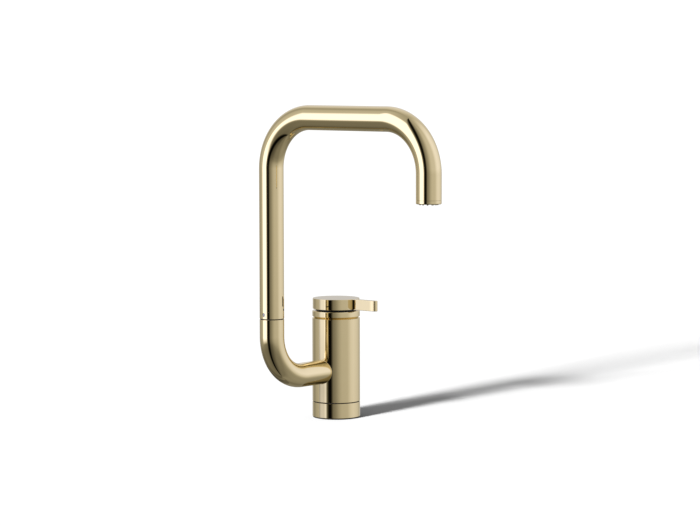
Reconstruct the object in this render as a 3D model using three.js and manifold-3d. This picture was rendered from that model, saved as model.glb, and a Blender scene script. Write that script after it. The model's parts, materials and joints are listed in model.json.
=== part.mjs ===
// Single-hole kitchen faucet with a side riser, a swivelling spout and a pull-down spray.
// Millimetres, +Z up. The origin is the centre of the deck hole, on the deck's top face.
// At rest the spout and the lever point along -Y, towards the user, and the riser stands at -X.
import * as THREE from 'three';
import { mergeVertices } from 'three/addons/utils/BufferGeometryUtils.js';
import Module from 'manifold-3d';

const wasm = await Module();
wasm.setup();

// ---- driving dimensions ------------------------------------------------------------------

const BODY_R = 25.35; // body column, 2 in across
const BODY_BORE_R = 22.0;
const GASKET_TOP_Z = 1.0;
const BASE_SEAM_Z = 17.1; // joint line between the base ring and the body
const SEAM_HEIGHT = 0.9; // visible height of a dark joint line
const BODY_TOP_Z = 106.7;
const BONNET_TOP_Z = 113.7;
const GROOVE_DEPTH = 1.9; // V-shaped groove between the body and the bonnet ring
const CAP_R = 24.85;
const CAP_BOTTOM_Z = 115.7;
const CAP_TOP_Z = 126.8;
const CAP_WALL = 2.4;

const TUBE_R = 12.7; // spout tube, 1 in across
const TUBE_BORE_R = 11.2;
const RISER_X = -102.0;
const ARM_Z = 50.0;
const ARM_BEND_R = 44.5;
const SWIVEL_SEAM_Z = 112.7;
const SPOUT_TOP_Z = 320.4; // axis of the level run
const SPOUT_BEND_R = 52.7;
const SPOUT_REACH = 205.6;
const OUTLET_Z = 238.4;

const BLADE_HALF_THICKNESS = 3.0; // lever blade, an upright plate on the cap's centre line
const BLADE_TIP_Y = -56.1;
const BLADE_ROOT_Y = -9.0;
const KEY_Z = 120.0; // handle's set screw

const COLLAR_HEIGHT = 3.7; // spray collar below the end of the tube
const HOSE_R = 5.0;
const HOSE_BEND_R = 42.0;
const HOSE_NUT_TOP_Z = 279.0;

const CARTRIDGE_R = 17.5; // standard 35 mm cartridge
const CARTRIDGE_SEAT_Z = 80.0;
const STEM_R = 4.9;
const STEM_TOP_Z = 119.0;
const PORT_DEGREES = { hot: 150, cold: 30, mixed: 270 }; // round the valve, from +X

const GAP = 0.3; // between a piece and the neighbour cut to fit it
const RUNNING = 0.1; // running clearance
const SIDES = 40; // facets of a large round
const SMALL_SIDES = 24; // facets of a small round
const HOSE_SIDES = 12;
const BEND_STEPS = 10; // steps round each tube bend

// ---- finishes ----------------------------------------------------------------------------

const FINISHES = {
  gold: { color: 0xd2c093, roughness: 0.08, metalness: 1.0 },
  brass: { color: 0xb59a55, roughness: 0.35, metalness: 1.0 },
  steel: { color: 0xa8a9ab, roughness: 0.3, metalness: 1.0 },
  black_plastic: { color: 0x17171a, roughness: 0.45, metalness: 0.0 },
  white_plastic: { color: 0xe4e2dc, roughness: 0.5, metalness: 0.0 },
  rubber: { color: 0x101010, roughness: 0.8, metalness: 0.0 },
  ceramic: { color: 0xf1efe9, roughness: 0.2, metalness: 0.0 },
  hose: { color: 0x2b2c2f, roughness: 0.6, metalness: 0.0 },
};

// ---- geometry helpers --------------------------------------------------------------------

// Turns a closed outline of [radius, height] points about the Z axis.
// The outline runs up the outer side and down the inner one.
function turned(outline, sides = SIDES) {
  const points = outline.map(([radius, height]) => new THREE.Vector2(radius, height));
  const onAxis = outline[0][0] === 0 && outline[outline.length - 1][0] === 0;
  if (!onAxis) points.push(points[0].clone());
  return new THREE.LatheGeometry(points, sides).rotateX(Math.PI / 2);
}

// A plain ring, or a sleeve, between two radii and two heights.
function ring(innerR, outerR, bottom, top, sides = SIDES) {
  return turned([[innerR, bottom], [outerR, bottom], [outerR, top], [innerR, top]], sides);
}

// A solid round bar or disc about the Z axis.
function disc(radius, bottom, top, sides = SMALL_SIDES) {
  return turned([[0, bottom], [radius, bottom], [radius, top], [0, top]], sides);
}

// An O-ring of a round section.
function oRing(centreR, sectionR, z, sides = SMALL_SIDES) {
  const sectionSides = 6;
  const corners = Array.from({ length: sectionSides }, (_, i) => {
    const angle = (i / sectionSides) * 2 * Math.PI;
    return [centreR + sectionR * Math.cos(angle), z + sectionR * Math.sin(angle)];
  });
  return turned(corners, sides);
}

function box(low, high) {
  const size = high.map((value, i) => value - low[i]);
  const centre = high.map((value, i) => (value + low[i]) / 2);
  return new THREE.BoxGeometry(...size).translate(...centre);
}

// A path of straight runs through corners that are rounded to one radius each.
// Its stations are the ends of the runs and even steps round each bend.
class RoundedRoute extends THREE.Curve {
  constructor(corners, bendRadii, stepsPerBend = BEND_STEPS) {
    super();
    const points = corners.map((corner) => new THREE.Vector3(...corner));
    const heading = (from, to) => to.clone().sub(from).normalize();
    this.stations = [{ point: points[0], tangent: heading(points[0], points[1]) }];
    for (let i = 1; i < points.length - 1; i += 1) {
      const before = heading(points[i - 1], points[i]);
      const after = heading(points[i], points[i + 1]);
      const radius = bendRadii[i - 1];
      const centre = points[i].clone().addScaledVector(before, -radius).addScaledVector(after, radius);
      for (let step = 0; step <= stepsPerBend; step += 1) {
        const turn = (step / stepsPerBend) * (Math.PI / 2);
        const point = centre.clone().addScaledVector(before, radius * Math.sin(turn));
        point.addScaledVector(after, -radius * Math.cos(turn));
        const tangent = before.clone().multiplyScalar(Math.cos(turn));
        tangent.addScaledVector(after, Math.sin(turn));
        this.stations.push({ point, tangent });
      }
    }
    const [last, end] = points.slice(-2);
    this.stations.push({ point: end, tangent: heading(last, end) });
  }

  // Leaves out the stations that a test refuses, such as those past a joint.
  keepOnly(test) {
    this.stations = this.stations.filter(({ point }) => test(point));
    return this;
  }

  get steps() {
    return this.stations.length - 1;
  }

  station(u) {
    return this.stations[Math.round(u * this.steps)];
  }

  getPoint(u, target = new THREE.Vector3()) {
    return target.copy(this.station(u).point);
  }

  getPointAt(u, target) {
    return this.getPoint(u, target);
  }

  getTangentAt(u, target = new THREE.Vector3()) {
    return target.copy(this.station(u).tangent);
  }
}

// A round tube, or a solid round bar when boreR is 0, carried along a route.
function tube(route, outerR, boreR = 0, sides = SMALL_SIDES) {
  const section = new THREE.Shape();
  section.absarc(0, 0, outerR, 0, 2 * Math.PI, false);
  if (boreR > 0) {
    const bore = new THREE.Path();
    bore.absarc(0, 0, boreR, 0, 2 * Math.PI, true);
    section.holes.push(bore);
  }
  const options = { extrudePath: route, steps: route.steps, curveSegments: sides / 2 };
  return new THREE.ExtrudeGeometry(section, options);
}

// A round bar between two points.
function crossBar(radius, from, to, sides = SMALL_SIDES) {
  return tube(new RoundedRoute([from, to], []), radius, 0, sides);
}

function toSolid(geometry) {
  const bare = geometry.clone();
  bare.deleteAttribute('normal');
  bare.deleteAttribute('uv');
  const merged = mergeVertices(bare, 1e-4);
  const mesh = new wasm.Mesh({
    numProp: 3,
    vertProperties: new Float32Array(merged.attributes.position.array),
    triVerts: new Uint32Array(merged.index.array),
  });
  return new wasm.Manifold(mesh);
}

function toGeometry(solid) {
  const mesh = solid.getMesh();
  const geometry = new THREE.BufferGeometry();
  geometry.setAttribute('position', new THREE.BufferAttribute(mesh.vertProperties, 3));
  geometry.setIndex(new THREE.BufferAttribute(mesh.triVerts, 1));
  geometry.computeVertexNormals();
  return geometry;
}

function cut(geometry, ...cutters) {
  const solid = cutters.reduce((rest, cutter) => rest.subtract(toSolid(cutter)), toSolid(geometry));
  return toGeometry(solid);
}

function join(geometry, ...others) {
  const solid = others.reduce((whole, other) => whole.add(toSolid(other)), toSolid(geometry));
  return toGeometry(solid);
}

// ---- the faucet --------------------------------------------------------------------------

const faucet = new THREE.Group();
faucet.name = 'pull_down_kitchen_faucet';

function add(name, geometry, finish, at = [0, 0, 0]) {
  const mesh = new THREE.Mesh(geometry, new THREE.MeshStandardMaterial(FINISHES[finish]));
  mesh.name = name;
  mesh.position.set(...at);
  faucet.add(mesh);
}

const RISER = [RISER_X, 0, 0];
const OUTLET = [RISER_X, -SPOUT_REACH, 0];

// A point on a circle about the Z axis.
function onCircle(radius, degrees) {
  const angle = THREE.MathUtils.degToRad(degrees);
  return [radius * Math.cos(angle), radius * Math.sin(angle), 0];
}

// Base: gasket on the deck, visible base ring, and the sleeve that takes the deck shank.
function addBase() {
  const gasket = { innerR: 17.5, outerR: BODY_R - 0.5 };
  const ringBoreR = 20.0;
  const seam = { outerR: BODY_R - 0.8, bottom: BASE_SEAM_Z - SEAM_HEIGHT / 2, height: 0.8 };
  const sleeve = { boreR: 15.5, bottom: GASKET_TOP_Z + RUNNING, stepZ: BASE_SEAM_Z + SEAM_HEIGHT, top: 32.0 };
  add('base_gasket', ring(gasket.innerR, gasket.outerR, 0, GASKET_TOP_Z), 'rubber');
  add('base_ring', ring(ringBoreR, BODY_R, sleeve.bottom, seam.bottom), 'gold');
  add('base_seam_ring',
    ring(ringBoreR, seam.outerR, seam.bottom + RUNNING, seam.bottom + seam.height), 'rubber');
  add('mounting_sleeve', turned([
    [sleeve.boreR, sleeve.bottom],
    [ringBoreR - GAP, sleeve.bottom],
    [ringBoreR - GAP, sleeve.stepZ],
    [BODY_BORE_R - GAP, sleeve.stepZ],
    [BODY_BORE_R - GAP, sleeve.top],
    [sleeve.boreR, sleeve.top],
  ]), 'brass');
}

// Body column with the hole where the spout arm goes in.
function addBody() {
  const bottom = BASE_SEAM_Z + SEAM_HEIGHT / 2;
  const chamfer = 1.0;
  const column = turned([
    [BODY_BORE_R, bottom],
    [BODY_R, bottom],
    [BODY_R, BODY_TOP_Z - chamfer],
    [BODY_R - GROOVE_DEPTH, BODY_TOP_Z],
    [BODY_BORE_R, BODY_TOP_Z],
  ]);
  const holeEnds = [-BODY_R - 5, -10].map((x) => [x, 0, ARM_Z]);
  add('body_shell', cut(column, crossBar(TUBE_R + GAP, ...holeEnds)), 'gold');
}

// Fixed elbow from the body's side up to the swivel seam, and the spray hose's tail inside it.
function addArm() {
  const armEndX = -20.0;
  const armTopZ = SWIVEL_SEAM_Z - SEAM_HEIGHT / 2;
  const armRoute = new RoundedRoute(
    [[armEndX, 0, ARM_Z], [RISER_X, 0, ARM_Z], [RISER_X, 0, armTopZ]], [ARM_BEND_R]);
  add('spout_arm', tube(armRoute, TUBE_R, TUBE_BORE_R), 'gold');
  const tail = { x: 9.0, bottom: 1.5, bendR: 36.0, bendSteps: 9 };
  const tailRoute = new RoundedRoute(
    [[tail.x, 0, tail.bottom], [tail.x, 0, ARM_Z], [RISER_X, 0, ARM_Z], [RISER_X, 0, SWIVEL_SEAM_Z - GAP]],
    [tail.bendR, ARM_BEND_R], tail.bendSteps);
  add('spray_hose_tail', tube(tailRoute, HOSE_R, 0, HOSE_SIDES), 'hose');
}

// Swivel: a post fixed in the arm's top, its bushes and O-rings, and the washer at the seam.
function addSwivel() {
  const shaftR = 9.6;
  const boreR = 7.2;
  const post = {
    bottom: 96.0, flangeR: TUBE_BORE_R - GAP, flangeZ: SWIVEL_SEAM_Z - SEAM_HEIGHT / 2, top: 138.6,
  };
  const oRingSize = { centreR: 9.95, sectionR: 0.95, grooveR: 8.85, grooveHalf: 1.3 };
  const levels = [
    { name: 'lower', ringZ: 126.6, bushZ: [120.5, 124.5] },
    { name: 'upper', ringZ: 130.6, bushZ: [132.6, 137.4] },
  ];
  const solidPost = turned([
    [boreR, post.bottom], [post.flangeR, post.bottom], [post.flangeR, post.flangeZ],
    [shaftR, post.flangeZ], [shaftR, post.top], [boreR, post.top],
  ], SMALL_SIDES);
  const grooves = levels.map(({ ringZ }) => ring(
    oRingSize.grooveR, TUBE_R, ringZ - oRingSize.grooveHalf, ringZ + oRingSize.grooveHalf, SMALL_SIDES));
  // The stop groove leaves a land on the +X side. The set screw's tip meets it a quarter turn
  // either way, so the spout swings through half a turn.
  const stop = { floorR: 8.1, bottom: 115.0, top: 119.8, landX: 2.1 };
  const clear = TUBE_R + 1;
  const land = box([stop.landX, -clear, stop.bottom - 1], [clear, clear, stop.top + 1]);
  const stopGroove = cut(ring(stop.floorR, TUBE_R, stop.bottom, stop.top, SMALL_SIDES), land);
  add('swivel_post', cut(solidPost, ...grooves, stopGroove), 'brass', RISER);
  const washer = { innerR: shaftR + 0.2, outerR: TUBE_R - 0.5, bottom: post.flangeZ + RUNNING, height: 0.7 };
  add('swivel_washer',
    ring(washer.innerR, washer.outerR, washer.bottom, washer.bottom + washer.height, SMALL_SIDES),
    'black_plastic', RISER);
  levels.forEach(({ name, ringZ, bushZ }) => {
    const bush = ring(shaftR + 0.15, TUBE_BORE_R - 0.25, ...bushZ, SMALL_SIDES);
    add(`swivel_bush_${name}`, bush, 'white_plastic', RISER);
    add(`swivel_o_ring_${name}`, oRing(oRingSize.centreR, oRingSize.sectionR, ringZ), 'rubber', RISER);
  });
}

// Valve body inside the column: a pocket for the cartridge, with three ports below it.
function addValveBody() {
  const bottom = 66.0;
  const top = 111.0;
  const outerR = BODY_BORE_R - GAP;
  const pocket = { r: CARTRIDGE_R + 0.4, floorZ: CARTRIDGE_SEAT_Z - 1.5 };
  const port = { r: 3.4, ringR: 9.5, sides: 16 };
  const nipple = { boreR: 2.6, spigotR: 3.2, headR: 6.0, bottom: 57.5, shoulderZ: bottom - RUNNING, top: 71.0 };
  const body = turned([
    [0, bottom], [outerR, bottom], [outerR, top], [pocket.r, top],
    [pocket.r, pocket.floorZ], [0, pocket.floorZ],
  ]);
  const places = { hot_inlet: 'hot', cold_inlet: 'cold', mixed_outlet: 'mixed' };
  const ports = Object.values(places).map((side) => (
    disc(port.r, bottom - 1, CARTRIDGE_SEAT_Z, port.sides)
      .translate(...onCircle(port.ringR, PORT_DEGREES[side]))));
  add('valve_body', cut(body, ...ports), 'brass');
  Object.entries(places).forEach(([name, side]) => {
    const fitting = turned([
      [nipple.boreR, nipple.bottom], [nipple.headR, nipple.bottom], [nipple.headR, nipple.shoulderZ],
      [nipple.spigotR, nipple.shoulderZ], [nipple.spigotR, nipple.top], [nipple.boreR, nipple.top],
    ], 18);
    add(`${name}_nipple`, fitting, 'brass', onCircle(port.ringR, PORT_DEGREES[side]));
  });
}

// Cartridge: housing with the discs and the stem, its seal and the nut that holds it down.
function addCartridge() {
  const seat = CARTRIDGE_SEAT_Z;
  const wall = 2.0;
  const shoulderZ = seat + 24.5;
  const innerR = CARTRIDGE_R - wall;
  const neck = { r: 9.8, height: 4.0 };
  const stemHoleR = STEM_R + 0.4;
  const seal = { innerR: 13.2, outerR: 16.2, height: 1.4 };
  add('cartridge_seal',
    ring(seal.innerR, seal.outerR, seat - seal.height, seat - RUNNING, SMALL_SIDES), 'rubber');
  add('cartridge_body', turned([
    [innerR, seat], [CARTRIDGE_R, seat], [CARTRIDGE_R, shoulderZ], [neck.r, shoulderZ],
    [neck.r, shoulderZ + neck.height], [stemHoleR, shoulderZ + neck.height],
    [stemHoleR, shoulderZ - wall], [innerR, shoulderZ - wall],
  ], SMALL_SIDES), 'white_plastic');
  const plate = { bottom: seat + 0.2, height: 4.0, holeR: 2.8, holeRingR: 9.0 };
  const plateTop = plate.bottom + plate.height;
  const holes = Object.values(PORT_DEGREES).map((degrees) => (
    disc(plate.holeR, seat - 1, plateTop + 1, 12).translate(...onCircle(plate.holeRingR, degrees))));
  const fixedDisc = disc(innerR - GAP, plate.bottom, plateTop);
  add('fixed_ceramic_disc', cut(fixedDisc, ...holes), 'ceramic');
  const slider = { r: innerR - 1.2, bottom: plateTop + RUNNING };
  const sliderTop = slider.bottom + plate.height;
  // The slot in the turning disc's underside joins the ports as the handle turns.
  const mixingSlot = box([-9.5, -11, slider.bottom - 1], [-1, 2, slider.bottom + 2.2]);
  add('moving_ceramic_disc', cut(disc(slider.r, slider.bottom, sliderTop), mixingSlot), 'ceramic');
  const stem = { footR: innerR - 1.4, bottom: sliderTop + RUNNING, footTop: seat + 14, neckZ: seat + 16 };
  add('cartridge_stem', turned([
    [0, stem.bottom], [stem.footR, stem.bottom], [stem.footR, stem.footTop],
    [STEM_R, stem.neckZ], [STEM_R, STEM_TOP_Z], [0, STEM_TOP_Z],
  ], SMALL_SIDES), 'brass');
  const nut = { innerR: neck.r + 0.4, outerR: CARTRIDGE_R + 0.1, height: 5.0 };
  add('cartridge_nut',
    ring(nut.innerR, nut.outerR, shoulderZ + RUNNING, shoulderZ + RUNNING + nut.height, SMALL_SIDES), 'brass');
}

// Bonnet ring over the column's top, and the black bearing ring the handle turns above. The
// bearing ring stands well back, so the gap under the cap is in shadow.
function addBonnet() {
  const bottom = BODY_TOP_Z + RUNNING;
  const chamfer = 1.1;
  const shoulder = { width: 1.1, bevel: 0.35 };
  add('bonnet_ring', turned([
    [BODY_BORE_R, bottom],
    [BODY_R - GROOVE_DEPTH, bottom],
    [BODY_R, bottom + chamfer],
    [BODY_R, BONNET_TOP_Z - shoulder.width],
    [BODY_R - shoulder.bevel, BONNET_TOP_Z - shoulder.bevel],
    [BODY_R - shoulder.width, BONNET_TOP_Z],
    [BODY_BORE_R, BONNET_TOP_Z],
  ]), 'gold');
  const bearing = { boreR: 13.0, seatZ: 111.2, seatR: BODY_BORE_R - GAP, rimR: 20.0, top: CAP_BOTTOM_Z - 0.4 };
  add('bonnet_bearing', turned([
    [bearing.boreR, bearing.seatZ], [bearing.seatR, bearing.seatZ], [bearing.seatR, BONNET_TOP_Z],
    [bearing.rimR, BONNET_TOP_Z], [bearing.rimR, bearing.top], [bearing.boreR, bearing.top],
  ]), 'black_plastic');
}

// The blade is an upright plate with a full-round tip, seen here from above.
function bladeOutline(grow) {
  const halfWidth = BLADE_HALF_THICKNESS + grow;
  const tipCentreY = BLADE_TIP_Y + BLADE_HALF_THICKNESS;
  const outline = new THREE.Shape();
  outline.moveTo(-halfWidth, BLADE_ROOT_Y + grow);
  outline.lineTo(-halfWidth, tipCentreY);
  outline.absarc(0, tipCentreY, halfWidth, Math.PI, 2 * Math.PI, false);
  outline.lineTo(halfWidth, BLADE_ROOT_Y + grow);
  return outline;
}

function bladeBar(grow, bottom, top) {
  const options = { depth: top - bottom, bevelEnabled: false, curveSegments: 10 };
  return new THREE.ExtrudeGeometry(bladeOutline(grow), options).translate(0, 0, bottom);
}

// Handle: cap, lever blade, hub on the stem, and the set screw behind.
// Outside the cap the blade has the cap's full height. A lower tongue goes through the skirt.
function addHandle() {
  const ceilingZ = CAP_TOP_Z - 3.0;
  const skirtR = CAP_R - CAP_WALL;
  const edge = 0.35;
  const past = 30; // a cutter's far end, clear of the cap
  const tongue = { bottom: 117.2, top: 122.8, fit: 0.2 };
  const slot = bladeBar(tongue.fit, tongue.bottom - tongue.fit, tongue.top + tongue.fit);
  const solidCap = turned([
    [0, CAP_BOTTOM_Z], [CAP_R, CAP_BOTTOM_Z], [CAP_R, CAP_TOP_Z - edge],
    [CAP_R - edge, CAP_TOP_Z], [0, CAP_TOP_Z],
  ]);
  const hollow = disc(skirtR, CAP_BOTTOM_Z - 1, ceilingZ, SIDES);
  const keyHole = crossBar(2.2, [0, 15, KEY_Z], [0, past, KEY_Z], 16);
  add('handle_cap', cut(solidCap, hollow, keyHole, slot), 'gold');
  const clearOfCap = disc(CAP_R + RUNNING, CAP_BOTTOM_Z - 1, CAP_TOP_Z + 1, 2 * SIDES);
  const outerBlade = cut(bladeBar(0, CAP_BOTTOM_Z, CAP_TOP_Z), clearOfCap);
  add('lever_blade', join(outerBlade, bladeBar(0, tongue.bottom, tongue.top)), 'gold');
  const hub = disc(skirtR - GAP, CAP_BOTTOM_Z + 0.9, ceilingZ - 0.2, SIDES);
  const stemBore = disc(STEM_R + 0.25, CAP_BOTTOM_Z - 1, STEM_TOP_Z + GAP);
  const screw = { r: 2.5, boreR: 2.8, innerY: 5.6, outerY: 14.0 };
  const screwBore = crossBar(screw.boreR, [0, 4, KEY_Z], [0, past, KEY_Z], 16);
  add('handle_hub', cut(hub, stemBore, screwBore, slot), 'brass');
  add('handle_set_screw', crossBar(screw.r, [0, screw.innerY, KEY_Z], [0, screw.outerY, KEY_Z], 16), 'steel');
}

// Swivelling spout: the bent tube, the set screw in its foot and the spray's docking bush.
function addSpout() {
  const footZ = SWIVEL_SEAM_Z + SEAM_HEIGHT / 2;
  const endZ = OUTLET_Z + COLLAR_HEIGHT + 0.25;
  const route = new RoundedRoute([
    [RISER_X, 0, footZ],
    [RISER_X, 0, SPOUT_TOP_Z],
    [RISER_X, -SPOUT_REACH, SPOUT_TOP_Z],
    [RISER_X, -SPOUT_REACH, endZ],
  ], [SPOUT_BEND_R, SPOUT_BEND_R]);
  const screw = { r: 1.8, holeR: 2.1, z: 117.4, outerX: RISER_X - TUBE_R + 0.7, innerX: RISER_X - 8.5 };
  const screwHole = crossBar(
    screw.holeR, [RISER_X - TUBE_R - 2, 0, screw.z], [RISER_X - 9, 0, screw.z], 16);
  add('spout_tube', cut(tube(route, TUBE_R, TUBE_BORE_R), screwHole), 'gold');
  add('spout_set_screw',
    crossBar(screw.r, [screw.outerX, 0, screw.z], [screw.innerX, 0, screw.z], 16), 'steel');
  const bush = { boreR: 10.5, outerR: TUBE_BORE_R - 0.25, bottom: 246.0, top: 258.0 };
  add('docking_bush',
    ring(bush.boreR, bush.outerR, bush.bottom, bush.top, SMALL_SIDES), 'black_plastic', OUTLET);
}

// Spray hose: the run inside the spout, and the length that draws out with the spray.
function addHose() {
  const joinZ = 285.0;
  const hoseTopZ = HOSE_NUT_TOP_Z + HOSE_BEND_R;
  const whole = new RoundedRoute([
    [RISER_X, 0, SWIVEL_SEAM_Z + GAP],
    [RISER_X, 0, hoseTopZ],
    [RISER_X, -SPOUT_REACH, hoseTopZ],
    [RISER_X, -SPOUT_REACH, joinZ],
  ], [SPOUT_BEND_R, HOSE_BEND_R]);
  const fixedRun = whole.keepOnly((point) => point.y > -SPOUT_REACH / 2 || point.z > joinZ + 1);
  add('spray_hose', tube(fixedRun, HOSE_R, 0, HOSE_SIDES), 'hose');
  const drawnLength = disc(HOSE_R, HOSE_NUT_TOP_Z + GAP, joinZ - 0.8, HOSE_SIDES);
  add('hose_pull_length', drawnLength, 'hose', OUTLET);
}

// Pull-down spray: collar and shell, face plate with its nozzles, flow insert and hose nut.
function addSpray() {
  const collarTop = OUTLET_Z + COLLAR_HEIGHT;
  const faceR = 10.6;
  add('spray_collar', turned([
    [faceR, OUTLET_Z + 0.3], [TUBE_R - 1.1, OUTLET_Z], [TUBE_R - 0.9, OUTLET_Z],
    [TUBE_R - 0.25, OUTLET_Z + 0.3], [TUBE_R, OUTLET_Z + 1.0], [TUBE_R, collarTop], [faceR, collarTop],
  ]), 'gold', OUTLET);
  const shell = { r: 10.2, boreR: 8.0, shoulderZ: 262.0, neckR: 7.0, neckBoreR: 5.4, top: 268.6 };
  add('wand_shell', turned([
    [shell.boreR, collarTop + RUNNING], [shell.r, collarTop + RUNNING], [shell.r, shell.shoulderZ],
    [shell.neckR, shell.top], [shell.neckBoreR, shell.top], [shell.neckBoreR, shell.shoulderZ + 2],
    [shell.boreR, shell.shoulderZ - 2],
  ], SMALL_SIDES), 'black_plastic', OUTLET);
  const face = { r: faceR - 0.2, boreR: 4.0, bottom: OUTLET_Z + 0.5, top: OUTLET_Z + 2.3 };
  const nozzle = { r: 0.7, boreR: 0.9, tipZ: OUTLET_Z - 0.9, sides: 6 };
  const rings = [{ count: 12, r: 8.9, start: 0 }, { count: 6, r: 6.1, start: 30 }];
  const spots = rings.flatMap(({ count, r, start }) => (
    Array.from({ length: count }, (_, i) => onCircle(r, start + (i * 360) / count))));
  const atSpots = (radius, bottom) => spots.map((spot) => (
    disc(radius, bottom, OUTLET_Z + 3, nozzle.sides).translate(...spot)));
  const centreBore = disc(face.boreR, OUTLET_Z, OUTLET_Z + 3, 20);
  const plate = disc(face.r, face.bottom, face.top);
  add('spray_plate', cut(plate, ...atSpots(nozzle.boreR, OUTLET_Z), centreBore), 'steel', OUTLET);
  const mat = ring(face.boreR, face.r, face.top + RUNNING, face.top + 1.3, SMALL_SIDES);
  add('nozzle_mat', join(mat, ...atSpots(nozzle.r, nozzle.tipZ)), 'rubber', OUTLET);
  const insert = { r: 3.7, bottom: OUTLET_Z + 0.8, flangeR: 7.6, flangeZ: collarTop + 0.2, top: 250.0 };
  add('flow_insert', turned([
    [0, insert.bottom], [insert.r, insert.bottom], [insert.r, insert.flangeZ],
    [insert.flangeR, insert.flangeZ], [insert.flangeR, insert.top], [0, insert.top],
  ], SMALL_SIDES), 'white_plastic', OUTLET);
  add('hose_nut', ring(4.0, 6.8, shell.top + GAP, HOSE_NUT_TOP_Z, 18), 'steel', OUTLET);
}

addBase();
addBody();
addArm();
addSwivel();
addValveBody();
addCartridge();
addBonnet();
addHandle();
addSpout();
addHose();
addSpray();

export default faucet;
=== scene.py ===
"""Polished kitchen faucet: its fine surfaces, finishes and studio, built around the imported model.

The column stands on the deck with its axis on Z. A fixed arm leaves its side, turns up and
carries a swivelling tube spout, and a slim spray draws down out of the spout's end. Each
sub-assembly is a class that builds its own surfaces with numpy and dresses them.
"""

from __future__ import annotations

import json
import logging
import math
from dataclasses import dataclass
from enum import Enum
from typing import Any, Sequence

import bmesh
import bpy
import numpy as np
from mathutils import Matrix, Vector

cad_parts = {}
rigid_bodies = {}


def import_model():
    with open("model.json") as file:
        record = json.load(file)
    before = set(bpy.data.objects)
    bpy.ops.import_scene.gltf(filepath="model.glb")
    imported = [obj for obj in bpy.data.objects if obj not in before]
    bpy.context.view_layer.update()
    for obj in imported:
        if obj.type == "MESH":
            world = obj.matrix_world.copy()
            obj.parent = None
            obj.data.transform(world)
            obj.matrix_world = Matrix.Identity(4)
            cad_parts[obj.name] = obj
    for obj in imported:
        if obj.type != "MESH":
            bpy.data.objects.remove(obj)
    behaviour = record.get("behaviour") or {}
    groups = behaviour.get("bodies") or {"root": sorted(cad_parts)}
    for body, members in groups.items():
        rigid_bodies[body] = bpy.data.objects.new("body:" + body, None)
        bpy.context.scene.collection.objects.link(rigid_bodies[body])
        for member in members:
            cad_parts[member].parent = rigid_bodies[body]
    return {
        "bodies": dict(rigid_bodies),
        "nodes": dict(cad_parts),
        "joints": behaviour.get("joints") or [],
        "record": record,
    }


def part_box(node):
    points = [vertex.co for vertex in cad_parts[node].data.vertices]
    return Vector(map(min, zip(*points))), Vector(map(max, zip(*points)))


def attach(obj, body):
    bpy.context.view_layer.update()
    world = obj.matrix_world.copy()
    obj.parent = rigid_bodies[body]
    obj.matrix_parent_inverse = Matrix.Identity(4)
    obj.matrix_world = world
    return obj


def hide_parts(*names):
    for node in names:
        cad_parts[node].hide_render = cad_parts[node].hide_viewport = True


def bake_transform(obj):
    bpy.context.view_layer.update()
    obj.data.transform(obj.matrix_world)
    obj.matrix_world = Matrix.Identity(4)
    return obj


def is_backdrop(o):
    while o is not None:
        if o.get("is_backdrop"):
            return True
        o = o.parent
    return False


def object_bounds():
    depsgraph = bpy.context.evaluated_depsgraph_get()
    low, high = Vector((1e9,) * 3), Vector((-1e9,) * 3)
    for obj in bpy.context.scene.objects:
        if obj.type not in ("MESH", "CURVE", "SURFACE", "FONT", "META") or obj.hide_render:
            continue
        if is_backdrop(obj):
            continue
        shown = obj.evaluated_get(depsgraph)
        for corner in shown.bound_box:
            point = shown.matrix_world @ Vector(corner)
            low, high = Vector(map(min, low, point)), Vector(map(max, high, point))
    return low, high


LOG = logging.getLogger("faucet")
MM = 0.001
AROUND = 144  # columns round a large turned or swept surface
AROUND_SMALL = 72  # columns round a small one

Socket = bpy.types.NodeSocket
Table = tuple[tuple[float, ...], ...]  # rows of plain numbers
Corners = Sequence[tuple[float, float, float]]  # (radius, height, corner radius), in millimetres


# ---- surfaces ------------------------------------------------------------------------------


@dataclass
class Surface:
    """A mesh as arrays: points, the outward normal at each, and faces as tuples of indices."""

    points: np.ndarray
    normals: np.ndarray
    faces: list[tuple[int, ...]]

    def joined(self, *others: "Surface") -> "Surface":
        """Puts several surfaces into one.

        Args:
            others: The surfaces to add after this one.

        Returns:
            One surface that holds all their points and faces.
        """
        points, normals, faces = [self.points], [self.normals], list(self.faces)
        offset = len(self.points)
        for other in others:
            points.append(other.points)
            normals.append(other.normals)
            faces += [tuple(i + offset for i in face) for face in other.faces]
            offset += len(other.points)
        return Surface(np.vstack(points), np.vstack(normals), faces)

    def placed(self, x: float, y: float) -> "Surface":
        """Returns the surface moved level, by x and y metres."""
        return Surface(self.points + np.array([x, y, 0.0]), self.normals, self.faces)

    def laid_along(self, axis: Sequence[float], origin: Sequence[float]) -> "Surface":
        """Turns a surface made round Z so that its Z axis lies along another direction.

        Args:
            axis: The direction that Z becomes.
            origin: Where the surface's own origin goes, in metres.

        Returns:
            The turned and moved surface.
        """
        turn = np.array(Vector(axis).to_track_quat("Z", "Y").to_matrix())
        return Surface(self.points @ turn.T + np.array(origin), self.normals @ turn.T, self.faces)

    def faced(self) -> "Surface":
        """Turns every face to agree with the normals at its corners.

        Returns:
            The surface with its faces turned.
        """
        turned = []
        for face in self.faces:
            corners = self.points[list(face)]
            across = np.cross(corners[1] - corners[0], corners[2] - corners[0])
            if len(face) == 4:
                across = across + np.cross(corners[2] - corners[0], corners[3] - corners[0])
            agrees = float(across @ self.normals[list(face)].sum(axis=0)) >= 0
            turned.append(face if agrees else face[::-1])
        return Surface(self.points, self.normals, turned)


def circle(columns: int) -> tuple[np.ndarray, np.ndarray, np.ndarray]:
    """Spaces points evenly round a circle.

    Args:
        columns: How many points there are.

    Returns:
        Their angles, cosines and sines.
    """
    angle = np.linspace(0, 2 * math.pi, columns, endpoint=False)
    return angle, np.cos(angle), np.sin(angle)


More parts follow.
